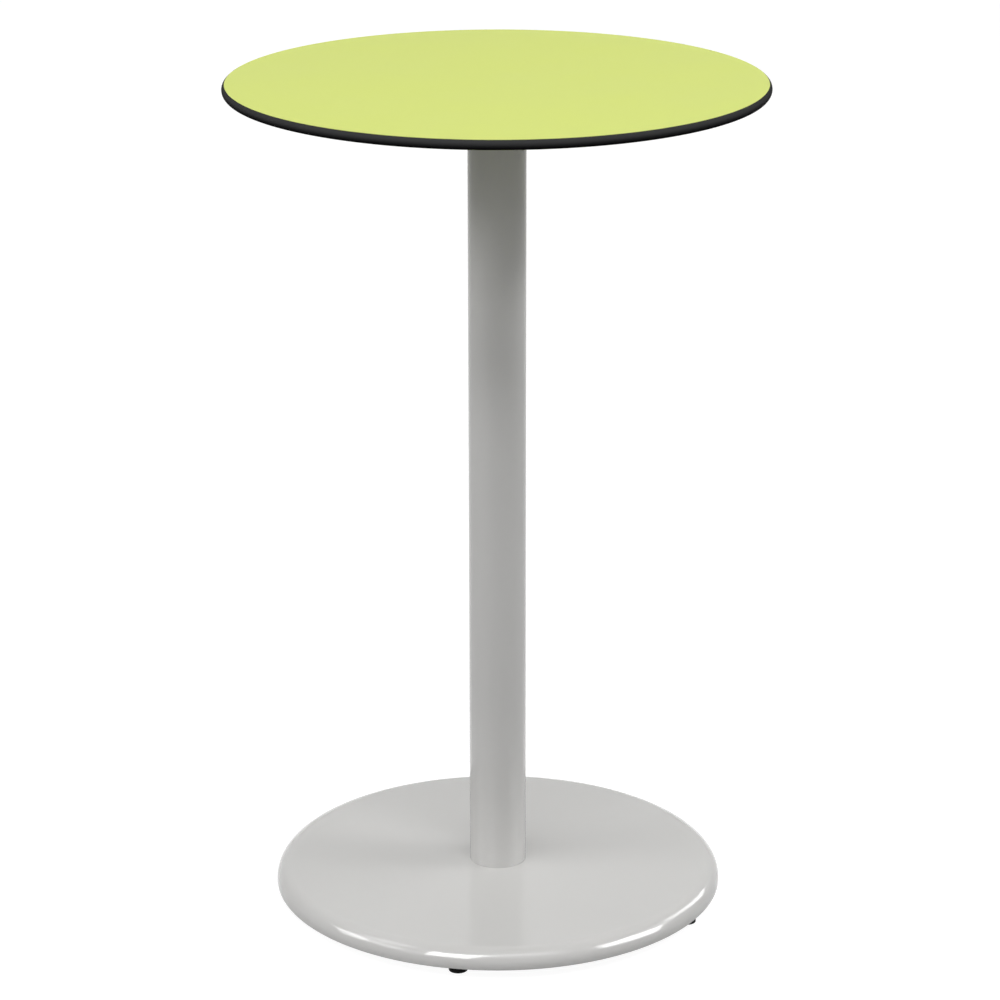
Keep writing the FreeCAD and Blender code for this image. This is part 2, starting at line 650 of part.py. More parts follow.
def make_feet():
    for number in range(sizes.foot_count):
        stand_at_foot(make_foot_pad(f"foot_{number + 1}_pad"), number)
        stand_at_foot(make_foot_stud(f"foot_{number + 1}_stud"), number)
    doc.recompute()


# ---------------------------------------------------------------- build, check and write

make_tabletop()
make_inserts()
make_screws()
make_screw_washers()
make_spider()
make_column()
make_tie_rod()
make_rod_fasteners()
make_base_cover()
make_ballast()
make_support_ring()
make_feet()
doc.removeObject("slate")
doc.recompute()

for item in doc.Objects:
    if "Invalid" in item.State or "Error" in item.State:
        raise SystemExit(f"{item.Label}: {item.State}")

pieces = [item for item in doc.Objects if item.TypeId == "PartDesign::Body"]
for piece in pieces:
    if piece.Shape.isNull() or not piece.Shape.isValid():
        raise SystemExit(f"{piece.Label}: its shape is null or not valid")

os.makedirs("parts", exist_ok=True)
for piece in pieces:
    piece.Shape.exportStep(f"parts/{piece.Label}.step")
    box = piece.Shape.optimalBoundingBox(False)
    print(f"{piece.Label:22} solids {len(piece.Shape.Solids)}  volume {piece.Shape.Volume:12.1f}"
          f"  z {box.ZMin:8.2f} to {box.ZMax:8.2f}  width {box.XLength:7.2f}")
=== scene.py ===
import bmesh
import bpy
import json
import math
from mathutils import Matrix, Quaternion, Vector


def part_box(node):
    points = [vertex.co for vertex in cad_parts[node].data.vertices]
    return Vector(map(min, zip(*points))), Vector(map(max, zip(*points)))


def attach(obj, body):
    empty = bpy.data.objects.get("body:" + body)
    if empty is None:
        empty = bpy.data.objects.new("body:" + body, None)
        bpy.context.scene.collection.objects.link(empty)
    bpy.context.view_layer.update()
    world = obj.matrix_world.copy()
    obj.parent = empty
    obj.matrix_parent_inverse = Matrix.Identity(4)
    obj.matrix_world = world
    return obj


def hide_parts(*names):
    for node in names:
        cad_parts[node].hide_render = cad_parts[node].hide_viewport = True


# Standing meeting table: a lime laminate disc with a black crowned edge, a light grey column
# and a pressed grey base cover that stands on five screw feet. Metres, the feet stand at height 0.

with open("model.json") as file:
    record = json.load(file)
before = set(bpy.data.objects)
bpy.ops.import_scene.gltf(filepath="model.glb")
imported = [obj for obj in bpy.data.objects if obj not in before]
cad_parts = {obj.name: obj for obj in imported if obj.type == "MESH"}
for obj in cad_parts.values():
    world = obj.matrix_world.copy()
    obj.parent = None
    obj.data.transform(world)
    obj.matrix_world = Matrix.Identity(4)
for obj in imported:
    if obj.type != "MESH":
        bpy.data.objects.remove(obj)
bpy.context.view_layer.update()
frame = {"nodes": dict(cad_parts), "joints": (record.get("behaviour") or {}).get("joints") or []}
scene = bpy.context.scene
mm = 0.001
tau = 2 * math.pi
hexSector = tau / 6
weld = 0.001 * mm  # points nearer than this become one
print("frame loaded:", len(frame["nodes"]), "nodes")


# helpers for node trees
def socketOf(sockets, key):
    if isinstance(key, int):
        return sockets[key]
    return next(s for s in sockets if s.name == key and s.enabled)


def addNode(tree, kind, inputs=None, **settings):
    node = tree.nodes.new(kind)
    for name, value in settings.items():
        setattr(node, name, value)
    for key, value in (inputs or {}).items():
        target = socketOf(node.inputs, key)
        if isinstance(value, bpy.types.NodeSocket):
            tree.links.new(value, target)
        else:
            target.default_value = value
    return node


def mathNode(tree, operation, *values):
    node = addNode(tree, "ShaderNodeMath", dict(enumerate(values)), operation=operation)
    return node.outputs[0]


def newTree(name, inputs):
    tree = bpy.data.node_groups.new(name, "GeometryNodeTree")
    tree.interface.new_socket("Geometry", in_out="INPUT", socket_type="NodeSocketGeometry")
    for label, kind in inputs:
        tree.interface.new_socket(label, in_out="INPUT", socket_type="NodeSocket" + kind)
    tree.interface.new_socket("Geometry", in_out="OUTPUT", socket_type="NodeSocketGeometry")
    return tree, tree.nodes.new("NodeGroupInput").outputs


def endTree(tree, geometry, material):
    whole = addNode(tree, "GeometryNodeRealizeInstances", {"Geometry": geometry})
    coloured = addNode(tree, "GeometryNodeSetMaterial",
                       {"Geometry": whole.outputs[0], "Material": material})
    end = tree.nodes.new("NodeGroupOutput")
    tree.links.new(coloured.outputs[0], end.inputs[0])


# shares of the pitch over which a turn of thread is flat, at its top and at its bottom
threadFlats = {"crest": 0.1, "root": 0.1}


def makeTurnedTree(flats):
    # A grid is wound round the axis. Each vertex takes radius and height from one point of the
    # profile. A point may turn into a hexagon, be cut off by a cone, or carry a thread.
    tree, given = newTree("turned part", [("Segments", "Int"), ("Thread pitch", "Float"),
                                          ("Thread depth", "Float"), ("Material", "Material")])
    profile = given["Geometry"]
    size = addNode(tree, "GeometryNodeAttributeDomainSize", {"Geometry": profile}, component="MESH")
    count = size.outputs["Point Count"]
    around = mathNode(tree, "ADD", given["Segments"], 1)
    grid = addNode(tree, "GeometryNodeMeshGrid", {"Vertices X": around, "Vertices Y": count})
    index = addNode(tree, "GeometryNodeInputIndex").outputs[0]
    step = mathNode(tree, "FLOOR", mathNode(tree, "DIVIDE", index, count))
    point = mathNode(tree, "SUBTRACT", index, mathNode(tree, "MULTIPLY", step, count))
    angle = mathNode(tree, "MULTIPLY", mathNode(tree, "DIVIDE", step, given["Segments"]), tau)

    def fromProfile(field, kind):
        return addNode(tree, "GeometryNodeSampleIndex",
                       {"Geometry": profile, "Value": field, "Index": point},
                       data_type=kind, domain="POINT").outputs[0]

    def ownNumber(name):
        named = addNode(tree, "GeometryNodeInputNamedAttribute", {"Name": name}, data_type="FLOAT")
        return fromProfile(named.outputs["Attribute"], "FLOAT")

    where = addNode(tree, "GeometryNodeInputPosition").outputs[0]
    parts = addNode(tree, "ShaderNodeSeparateXYZ", {0: fromProfile(where, "FLOAT_VECTOR")})
    height = parts.outputs["Z"]
    halfSector = hexSector / 2
    turned = mathNode(tree, "FLOORED_MODULO", mathNode(tree, "ADD", angle, halfSector), hexSector)
    offFlat = mathNode(tree, "COSINE", mathNode(tree, "SUBTRACT", turned, halfSector))
    stretch = mathNode(tree, "SUBTRACT", mathNode(tree, "DIVIDE", 1, offFlat), 1)
    widened = mathNode(tree, "MULTIPLY_ADD", ownNumber("hexShare"), stretch, 1)
    hexed = mathNode(tree, "MULTIPLY", parts.outputs["X"], widened)
    coned = mathNode(tree, "MINIMUM", hexed, ownNumber("coneLimit"))
    climb = mathNode(tree, "SUBTRACT", mathNode(tree, "DIVIDE", height, given["Thread pitch"]),
                     mathNode(tree, "DIVIDE", angle, tau))
    fromCrest = mathNode(tree, "SUBTRACT", mathNode(tree, "FRACT", climb), 0.5)
    flank = mathNode(tree, "ABSOLUTE", fromCrest)
    steepness = 1 / (0.5 - flats["crest"] / 2 - flats["root"] / 2)
    slope = mathNode(tree, "MULTIPLY_ADD", flank, steepness, -steepness * flats["crest"] / 2)
    groove = addNode(tree, "ShaderNodeClamp", {0: slope})
    depth = mathNode(tree, "MULTIPLY", given["Thread depth"], ownNumber("threadShare"))
    cut = mathNode(tree, "MULTIPLY", groove.outputs[0], depth)
    radius = mathNode(tree, "SUBTRACT", coned, cut)
    place = addNode(tree, "ShaderNodeCombineXYZ", {
        "X": mathNode(tree, "MULTIPLY", radius, mathNode(tree, "COSINE", angle)),
        "Y": mathNode(tree, "MULTIPLY", radius, mathNode(tree, "SINE", angle)),
        "Z": height})
    wound = addNode(tree, "GeometryNodeSetPosition",
                    {"Geometry": grid.outputs["Mesh"], "Position": place.outputs[0]})
    closed = addNode(tree, "GeometryNodeMergeByDistance",
                     {"Geometry": wound.outputs[0], "Distance": weld})
    endTree(tree, closed.outputs[0], given["Material"])
    return tree


def makeBoltPlacesTree():
    # The same fastener at two radii on every arm, each left at a turn of its own.
    tree, given = newTree("bolt places", [("Arms", "Int"), ("Inner radius", "Float"),
                                          ("Outer radius", "Float"), ("Seat height", "Float"),
                                          ("Seed", "Int"), ("Material", "Material")])
    perArm = 2
    index = addNode(tree, "GeometryNodeInputIndex").outputs[0]
    arm = mathNode(tree, "FLOOR", mathNode(tree, "DIVIDE", index, perArm))
    isOuter = mathNode(tree, "MODULO", index, perArm)
    angle = mathNode(tree, "MULTIPLY", mathNode(tree, "DIVIDE", arm, given["Arms"]), tau)
    gap = mathNode(tree, "SUBTRACT", given["Outer radius"], given["Inner radius"])
    radius = mathNode(tree, "MULTIPLY_ADD", isOuter, gap, given["Inner radius"])
    place = addNode(tree, "ShaderNodeCombineXYZ", {
        "X": mathNode(tree, "MULTIPLY", radius, mathNode(tree, "COSINE", angle)),
        "Y": mathNode(tree, "MULTIPLY", radius, mathNode(tree, "SINE", angle)),
        "Z": given["Seat height"]})
    points = addNode(tree, "GeometryNodePoints",
                     {"Count": mathNode(tree, "MULTIPLY", given["Arms"], perArm),
                      "Position": place.outputs[0]})
    turn = addNode(tree, "FunctionNodeRandomValue",
                   {"Min": 0.0, "Max": tau, "Seed": given["Seed"]}, data_type="FLOAT")
    spin = addNode(tree, "ShaderNodeCombineXYZ", {"Z": socketOf(turn.outputs, "Value")})
    copies = addNode(tree, "GeometryNodeInstanceOnPoints",
                     {"Points": points.outputs[0], "Instance": given["Geometry"],
                      "Rotation": spin.outputs[0]})
    endTree(tree, copies.outputs[0], given["Material"])
    return tree


def runTree(piece, tree, values):
    labels = {item.name: item.identifier for item in tree.interface.items_tree
              if item.item_type == "SOCKET" and item.in_out == "INPUT"}
    modifier = piece.modifiers.new(tree.name, "NODES")
    modifier.node_group = tree
    for label, value in values.items():
        modifier[labels[label]] = value
    result = piece.evaluated_get(bpy.context.evaluated_depsgraph_get())
    mesh = bpy.data.meshes.new_from_object(result)
    piece.modifiers.remove(modifier)
    mesh.name = piece.name
    piece.data = mesh


turnedTree = makeTurnedTree(threadFlats)
boltPlacesTree = makeBoltPlacesTree()


# helpers for meshes: a profile is a list of rings, and a cone limit of 1 m cuts nothing off
def ring(radius, height, hexShare=0.0, coneLimit=1.0, threadShare=0.0):
    return (radius, height, hexShare, coneLimit, threadShare)


def arc(radius, height, rounding, start, stop, steps):
    # a stretch of a circle in the profile, angles in degrees, 0 outwards and 90 up
    turns = [math.radians(start + (stop - start) * n / steps) for n in range(steps + 1)]
    return [ring(radius + rounding * math.cos(a), height + rounding * math.sin(a)) for a in turns]


def newPiece(name, data):
    piece = bpy.data.objects.new(name, data)
    scene.collection.objects.link(piece)
    return piece


def tidyMesh(mesh, sharpAngle=30):
    work = bmesh.new()
    work.from_mesh(mesh)
    bmesh.ops.remove_doubles(work, verts=work.verts, dist=weld)
    bmesh.ops.dissolve_degenerate(work, edges=work.edges, dist=weld)
    bmesh.ops.recalc_face_normals(work, faces=work.faces)
    for face in work.faces:
        face.smooth = True
    work.to_mesh(mesh)
    work.free()
    mesh.set_sharp_from_angle(angle=math.radians(sharpAngle))


def turn(name, profile, material, segments, closed=True, pitch=1.0, depth=0.0):
    # a closed profile ends where it starts, an open one starts and ends on the axis
    points = profile + profile[:1] if closed else profile
    mesh = bpy.data.meshes.new(name)
    mesh.from_pydata([(p[0], 0.0, p[1]) for p in points], [], [])
    for column, label in enumerate(("hexShare", "coneLimit", "threadShare"), start=2):
        layer = mesh.attributes.new(label, "FLOAT", "POINT")
        layer.data.foreach_set("value", [p[column] for p in points])
    piece = newPiece(name, mesh)
    runTree(piece, turnedTree, {"Segments": segments, "Thread pitch": pitch,
                                "Thread depth": depth, "Material": material})
    tidyMesh(piece.data)
    return piece


def hand(piece, body, slotName, *nodes):
    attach(piece, body)
    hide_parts(*nodes)


# helpers for materials: a noise pattern lies mostly between these two values
patternLow = 0.3
patternHigh = 0.7


def newMaterial(name, look, metallic=0.0):
    material = bpy.data.materials.new(name)
    material.use_nodes = True
    tree = material.node_tree
    shader = next(n for n in tree.nodes if n.type == "BSDF_PRINCIPLED")
    shader.inputs["Base Color"].default_value = (*look["colour"], 1)
    shader.inputs["Metallic"].default_value = metallic
    shader.inputs["Specular IOR Level"].default_value = look["specular"]
    coords = tree.nodes.new("ShaderNodeTexCoord").outputs["Object"]
    return material, tree, shader, coords


def noise(tree, coords, scale, detail=2.0, roughness=0.5, stretch=(1, 1, 1)):
    placed = addNode(tree, "ShaderNodeMapping", {"Vector": coords, "Scale": stretch})
    cloud = addNode(tree, "ShaderNodeTexNoise", {"Vector": placed.outputs[0], "Scale": scale,
                                                 "Detail": detail, "Roughness": roughness})
    return cloud.outputs[0]


def tint(tree, shader, colour, pattern, share, low=patternLow, high=patternHigh):
    # the colour goes up and down by a share of itself, where the pattern is high and low
    ramp = addNode(tree, "ShaderNodeMapRange", {"Value": pattern, "From Min": low, "From Max": high})
    mix = addNode(tree, "ShaderNodeMix", {0: ramp.outputs[0]}, data_type="RGBA")
    socketOf(mix.inputs, "A").default_value = (*[c * (1 - share) for c in colour], 1)
    socketOf(mix.inputs, "B").default_value = (*[c * (1 + share) for c in colour], 1)
    result = socketOf(mix.outputs, "Result")
    tree.links.new(result, shader.inputs["Base Color"])
    return result


def gloss(tree, shader, pattern, smooth, rough):
    ramp = addNode(tree, "ShaderNodeMapRange", {"Value": pattern, "From Min": patternLow,
                                                "From Max": patternHigh, "To Min": smooth,
                                                "To Max": rough})
    tree.links.new(ramp.outputs[0], shader.inputs["Roughness"])


def relief(tree, shader, pattern, depth, under=None):
    inputs = {"Height": pattern, "Distance": depth}
    if under is not None:
        inputs["Normal"] = under
    bump = addNode(tree, "ShaderNodeBump", inputs)
    tree.links.new(bump.outputs[0], shader.inputs["Normal"])
    return bump.outputs[0]


limeDecorLook = {"colour": (0.583, 0.66, 0.143), "specular": 0.25, "roughness": (0.53, 0.59),
                 "mottleScale": 7, "mottle": 0.014, "mottleSpan": 0.25,
                 "grainScale": 1300, "grain": 0.012, "grainDepth": 0.012 * mm}


def makeLimeDecor(look):
    material, tree, shader, coords = newMaterial("limeDecor", look)
    mottle = noise(tree, coords, look["mottleScale"], detail=3)
    grain = noise(tree, coords, look["grainScale"])
    grainShare = look["grain"] / look["mottle"]
    both = mathNode(tree, "MULTIPLY_ADD", grain, grainShare, mottle)
    middle = 0.5 + 0.5 * grainShare  # the mean of both patterns added up
    tint(tree, shader, look["colour"], both, look["mottle"],
         middle - look["mottleSpan"], middle + look["mottleSpan"])
    gloss(tree, shader, mottle, *look["roughness"])
    relief(tree, shader, grain, look["grainDepth"])
    return material


# the edge has no gloss of its own; its upper half is painted paler, a painted sheen in place of reflected
# light
blackCoreLook = {"colour": (0.01, 0.01, 0.0105), "specular": 0.0, "roughness": (0.42, 0.5),
                 "paintedSheen": (0.041, 0.041, 0.042), "paintedSheenFrom": 1099 * mm, "paintedSheenTo": 1107 * mm,
                 "fleckScale": 900, "fleck": 0.3,
                 "lineScale": 900, "lineStretch": (0.01, 0.01, 1), "lineDepth": 0.006 * mm}


def makeBlackCore(look):
    material, tree, shader, coords = newMaterial("blackCore", look)
    fleck = noise(tree, coords, look["fleckScale"], detail=3)
    flecked = tint(tree, shader, look["colour"], fleck, look["fleck"])
    height = addNode(tree, "ShaderNodeSeparateXYZ", {0: coords}).outputs["Z"]
    # painted sheen: towards the top the edge's colour blends into a paler grey that stands in for
    # reflected light
    sheenShare = addNode(tree, "ShaderNodeMapRange", {"Value": height, "From Min": look["paintedSheenFrom"],
                                               "From Max": look["paintedSheenTo"]},
                  interpolation_type="SMOOTHSTEP")
    mix = addNode(tree, "ShaderNodeMix", {0: sheenShare.outputs[0]}, data_type="RGBA")
    tree.links.new(flecked, socketOf(mix.inputs, "A"))
    socketOf(mix.inputs, "B").default_value = (*look["paintedSheen"], 1)
    tree.links.new(socketOf(mix.outputs, "Result"), shader.inputs["Base Color"])
    gloss(tree, shader, fleck, *look["roughness"])
    lines = noise(tree, coords, look["lineScale"], detail=1, stretch=look["lineStretch"])
    relief(tree, shader, lines, look["lineDepth"])
    return material


frameCoatLook = {"colour": (0.573, 0.568, 0.559), "specular": 0.3, "roughness": (0.09, 0.13),
                 "driftScale": 5, "drift": 0.012, "peelScale": 260, "peelDepth": 0.012 * mm,
                 "speckScale": 1500, "speckDepth": 0.003 * mm}


def makeFrameCoat(look):
    material, tree, shader, coords = newMaterial("frameCoat", look)
    drift = noise(tree, coords, look["driftScale"])
    tint(tree, shader, look["colour"], drift, look["drift"])
    gloss(tree, shader, drift, *look["roughness"])
    peel = relief(tree, shader, noise(tree, coords, look["peelScale"], detail=1), look["peelDepth"])
    relief(tree, shader, noise(tree, coords, look["speckScale"]), look["speckDepth"], under=peel)
    return material


castCoatLook = {"colour": (0.56, 0.555, 0.545), "specular": 0.5, "roughness": (0.35, 0.46),
                "driftScale": 18, "drift": 0.03, "skinScale": 420, "skinDepth": 0.06 * mm}


def makeCastCoat(look):
    material, tree, shader, coords = newMaterial("castCoat", look)
    drift = noise(tree, coords, look["driftScale"], detail=3)
    tint(tree, shader, look["colour"], drift, look["drift"])
    gloss(tree, shader, drift, *look["roughness"])
    skin = noise(tree, coords, look["skinScale"], detail=4, roughness=0.6)
    relief(tree, shader, skin, look["skinDepth"])
    return material


zincLook = {"colour": (0.62, 0.62, 0.6), "specular": 0.5, "roughness": (0.26, 0.42),
            "cloudScale": 110, "cloud": 0.1,
            "lineScale": 1600, "lineStretch": (1, 1, 0.1), "lineDepth": 0.004 * mm}


def makeZinc(look):
    material, tree, shader, coords = newMaterial("zincSteel", look, metallic=1)
    cloud = noise(tree, coords, look["cloudScale"], detail=4, roughness=0.6)
    tint(tree, shader, look["colour"], cloud, look["cloud"])
    gloss(tree, shader, cloud, *look["roughness"])
    lines = noise(tree, coords, look["lineScale"], stretch=look["lineStretch"])
    relief(tree, shader, lines, look["lineDepth"])
    return material


brassLook = {"colour": (0.7, 0.52, 0.22), "specular": 0.5, "roughness": (0.24, 0.36),
             "cloudScale": 160, "cloud": 0.08,
             "lineScale": 900, "lineStretch": (0.02, 0.02, 1), "lineDepth": 0.01 * mm}


def makeBrass(look):
    material, tree, shader, coords = newMaterial("turnedBrass", look, metallic=1)
    cloud = noise(tree, coords, look["cloudScale"], detail=3)
    tint(tree, shader, look["colour"], cloud, look["cloud"])
    gloss(tree, shader, cloud, *look["roughness"])
    lines = noise(tree, coords, look["lineScale"], detail=1, stretch=look["lineStretch"])
    relief(tree, shader, lines, look["lineDepth"])
    return material


ironLook = {"colour": (0.035, 0.035, 0.037), "specular": 0.5, "roughness": (0.45, 0.7),
            "cloudScale": 22, "cloud": 0.25, "pitScale": 190, "pitDepth": 0.25 * mm,
            "sandScale": 900, "sandDepth": 0.05 * mm}


def makeBallastIron(look):
    material, tree, shader, coords = newMaterial("ballastIron", look)
    cloud = noise(tree, coords, look["cloudScale"], detail=4, roughness=0.6)
    tint(tree, shader, look["colour"], cloud, look["cloud"])
    gloss(tree, shader, cloud, *look["roughness"])
    pits = noise(tree, coords, look["pitScale"], detail=3, roughness=0.55)
    pitted = relief(tree, shader, pits, look["pitDepth"])
    relief(tree, shader, noise(tree, coords, look["sandScale"]), look["sandDepth"], under=pitted)
    return material


rubberLook = {"colour": (0.02, 0.02, 0.02), "specular": 0.5, "roughness": (0.75, 0.9),
              "dustScale": 60, "dust": 0.3, "grainScale": 1500, "grainDepth": 0.01 * mm}


def makeSupportRubber(look):
    material, tree, shader, coords = newMaterial("supportRubber", look)
    dust = noise(tree, coords, look["dustScale"], detail=3)
    tint(tree, shader, look["colour"], dust, look["dust"])
    gloss(tree, shader, dust, *look["roughness"])
    relief(tree, shader, noise(tree, coords, look["grainScale"]), look["grainDepth"])
    return material


footPlasticLook = {"colour": (0.005, 0.005, 0.005), "specular": 0.06, "roughness": (0.45, 0.6),
                   "cloudScale": 90, "cloud": 0.15, "grainScale": 2200, "grainDepth": 0.012 * mm}


def makeFootPlastic(look):
    material, tree, shader, coords = newMaterial("footPlastic", look)
    cloud = noise(tree, coords, look["cloudScale"])
    tint(tree, shader, look["colour"], cloud, look["cloud"])
    gloss(tree, shader, cloud, *look["roughness"])
    relief(tree, shader, noise(tree, coords, look["grainScale"]), look["grainDepth"])
    return material


limeDecor = makeLimeDecor(limeDecorLook)
blackCore = makeBlackCore(blackCoreLook)
frameCoat = makeFrameCoat(frameCoatLook)
castCoat = makeCastCoat(castCoatLook)
zincSteel = makeZinc(zincLook)
turnedBrass = makeBrass(brassLook)
ballastIron = makeBallastIron(ironLook)
supportRubber = makeSupportRubber(rubberLook)
footPlastic = makeFootPlastic(footPlasticLook)

# these pieces keep their CAD mesh and get only a better material
keptNodes = {"top_inserts": turnedBrass, "column_centring_disc": zincSteel,
             "cover_support_ring": supportRubber, "ballast_disc": ballastIron,
             "rod_washer_upper": zincSteel, "rod_nut_upper": zincSteel}
for nodeName, material in keptNodes.items():
    for place in frame["nodes"][nodeName].material_slots:
        place.material = material
print("materials made")


# tabletop: two lime faces on a black core, its edge a crown with rounded corners; the support
# is a ring of points just inside a rounding, so that the flat face beside it shades flat
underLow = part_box("underside_decor")[0]
coreLow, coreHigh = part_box("top_core")
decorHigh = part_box("top_decor")[1]
tabletop = {"thickness": decorHigh.z - underLow.z, "radius": coreHigh.x, "bulge": 4 * mm,
            "corner": 3 * mm, "segments": 288, "crownSteps": 20, "cornerSteps": 10, "support": 1 * mm}


def buildTabletop(size):
    half = size["thickness"] / 2
    middle = (decorHigh.z + underLow.z) / 2
    corner = size["corner"]
    crown = (half ** 2 + size["bulge"] ** 2) / (2 * size["bulge"])
    crownCentre = size["radius"] - crown
    flat = crownCentre + math.sqrt((crown - corner) ** 2 - (half - corner) ** 2)
    meet = math.degrees(math.atan2(half - corner, flat - crownCentre))  # corner and crown touch
    high = middle + half - corner
    low = middle - half + corner
    joint = math.degrees(math.asin((coreHigh.z - high) / corner))  # the lime sheet's lower border
    steps = size["cornerSteps"]
    inner = flat - size["support"]

    rim = [*arc(flat, low, corner, -joint, -meet, steps),
           *arc(crownCentre, middle, crown, -meet, meet, size["crownSteps"])[1:-1],
           *arc(flat, high, corner, meet, joint, steps)]
    core = [ring(0, coreLow.z), ring(inner, coreLow.z), *rim, ring(inner, coreHigh.z),
            ring(0, coreHigh.z)]
    edge = turn("blackEdge", core, blackCore, size["segments"], closed=False)
    hand(edge, "table", "black_core", "top_core")

    upper = [ring(0, coreHigh.z), ring(inner, coreHigh.z), *arc(flat, high, corner, joint, 90, steps),
             ring(inner, decorHigh.z), ring(0, decorHigh.z)]
    face = turn("limeFace", upper, limeDecor, size["segments"], closed=False)
    hand(face, "table", "lime_decor", "top_decor")

    lower = [ring(0, underLow.z), ring(inner, underLow.z), *arc(flat, low, corner, -90, -joint, steps),
             ring(inner, coreLow.z), ring(0, coreLow.z)]
    under = turn("undersideFace", lower, limeDecor, size["segments"], closed=False)
    hand(under, "table", "lime_decor", "underside_decor")


buildTabletop(tabletop)
print("tabletop made")


# spider: the casting below the top, its edges rounded by the mould; faces within the flat angle
# of each other are joined first, and edges past the edge angle are rounded (degrees)
spider = {"edgeRounding": 1.2 * mm, "steps": 3, "flatAngle": 1, "edgeAngle": 35, "sharpAngle": 25}


def buildSpider(size):
    mesh = frame["nodes"]["top_spider"].data.copy()
    mesh.name = "armCasting"
    if "custom_normal" in mesh.attributes:
        mesh.attributes.remove(mesh.attributes["custom_normal"])
    work = bmesh.new()
    work.from_mesh(mesh)
    bmesh.ops.remove_doubles(work, verts=work.verts, dist=weld)
    bmesh.ops.dissolve_limit(work, angle_limit=math.radians(size["flatAngle"]), verts=work.verts,
                             edges=work.edges)
    bmesh.ops.recalc_face_normals(work, faces=work.faces)
    edgeAngle = math.radians(size["edgeAngle"])
    sharp = [e for e in work.edges if len(e.link_faces) == 2 and e.calc_face_angle() > edgeAngle]
    bmesh.ops.bevel(work, geom=sharp, offset=size["edgeRounding"], segments=size["steps"],
                    profile=0.5, affect="EDGES", clamp_overlap=True)  # a profile of 0.5 is round
    work.to_mesh(mesh)
    work.free()
    mesh.materials.clear()
    mesh.materials.append(castCoat)
    tidyMesh(mesh, size["sharpAngle"])
    casting = newPiece("armCasting", mesh)
    hand(casting, "table", "spider_coat", "top_spider")


buildSpider(spider)
print("spider made")


# screws and washers that hold the spider to the top, made head down with the head's face at 0
screwLow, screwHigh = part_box("top_screws")
washerLow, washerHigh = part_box("top_screw_washers")
headRadius = 6 * mm
screws = {"arms": 4, "innerRadius": 150 * mm, "outerRadius": screwHigh.x - headRadius,
          "headRadius": headRadius, "headHeight": washerLow.z - screwLow.z, "headEdge": 0.2 * mm,
          "dome": 2 * mm, "domeSteps": 8, "support": 0.1 * mm,
          "shank": 3 * mm, "length": screwHigh.z - screwLow.z, "tipChamfer": 0.6 * mm,
          "socketFlats": 4 * mm, "socketDepth": 2.2 * mm, "drillPoint": 0.5 * mm,
          "mouthWidth": 0.35 * mm, "mouthDepth": 0.525 * mm, "seed": 11, "segments": 48}
washers = {"radius": washerHigh.x - screws["outerRadius"], "thickness": washerHigh.z - washerLow.z,
           "hole": 3.2 * mm, "edge": 0.3 * mm, "edgeSteps": 4, "seed": 12, "segments": 48}


def placeOnArms(piece, seat, seed):
    runTree(piece, boltPlacesTree, {"Arms": screws["arms"], "Inner radius": screws["innerRadius"],
                                    "Outer radius": screws["outerRadius"], "Seat height": seat,
                                    "Seed": seed, "Material": zincSteel})
    tidyMesh(piece.data)


def buildScrews(size):
    half = size["socketFlats"] / 2
    mouth = half / math.cos(hexSector / 2) + size["mouthWidth"]
    domeCentre = size["headRadius"] - size["dome"]
    profile = [ring(0, size["socketDepth"] + size["drillPoint"]), ring(half, size["socketDepth"], 1),
               ring(half, size["mouthDepth"], 1), ring(mouth, 0), ring(domeCentre - size["support"], 0),
               *arc(domeCentre, size["dome"], size["dome"], -90, 0, size["domeSteps"]),
               ring(size["headRadius"], size["headHeight"] - size["headEdge"]),
               ring(size["headRadius"] - size["headEdge"], size["headHeight"]),
               ring(size["shank"], size["headHeight"]),
               ring(size["shank"], size["length"] - size["tipChamfer"]),
               ring(size["shank"] - size["tipChamfer"], size["length"]), ring(0, size["length"])]
    piece = turn("socketScrews", profile, zincSteel, size["segments"], closed=False)
    placeOnArms(piece, screwLow.z, size["seed"])
    hand(piece, "table", "zinc_steel", "top_screws")


def buildWashers(size):
    edge = size["edge"]
    profile = [ring(size["hole"], 0),
               *arc(size["radius"] - edge, edge, edge, -90, 0, size["edgeSteps"]),
               *arc(size["radius"] - edge, size["thickness"] - edge, edge, 0, 90, size["edgeSteps"]),
               ring(size["hole"], size["thickness"])]
    piece = turn("screwWashers", profile, zincSteel, size["segments"])
    placeOnArms(piece, washerLow.z, size["seed"])
    hand(piece, "table", "zinc_steel", "top_screw_washers")


buildScrews(screws)
buildWashers(washers)
print("screws made")


# column tube
tubeLow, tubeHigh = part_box("column_tube")
column = {"radius": tubeHigh.x, "wall": 2 * mm, "edge": 0.4 * mm, "edgeSteps": 3, "segments": 192}


def buildColumn(size):
    outside = size["radius"]
    bore = outside - size["wall"]
    edge = size["edge"]
    profile = [*arc(outside - edge, tubeLow.z + edge, edge, -90, 0, size["edgeSteps"]),
               *arc(outside - edge, tubeHigh.z - edge, edge, 0, 90, size["edgeSteps"]),
               ring(bore, tubeHigh.z), ring(bore, tubeLow.z)]
    tube = turn("columnTube", profile, frameCoat, size["segments"])
    hand(tube, "table", "frame_coat", "column_tube")


buildColumn(column)
print("column made")


# base cover: a pressed sheet with a quarter-round shoulder and a short upright lip
coverLow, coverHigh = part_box("base_cover")
baseCover = {"radius": coverHigh.x, "shoulder": 22 * mm, "shoulderSteps": 20, "wall": 2 * mm,
             "rodHole": 6.5 * mm, "lipEdge": 0.7 * mm, "lipSteps": 4, "support": 1.5 * mm,
             "segments": 320}


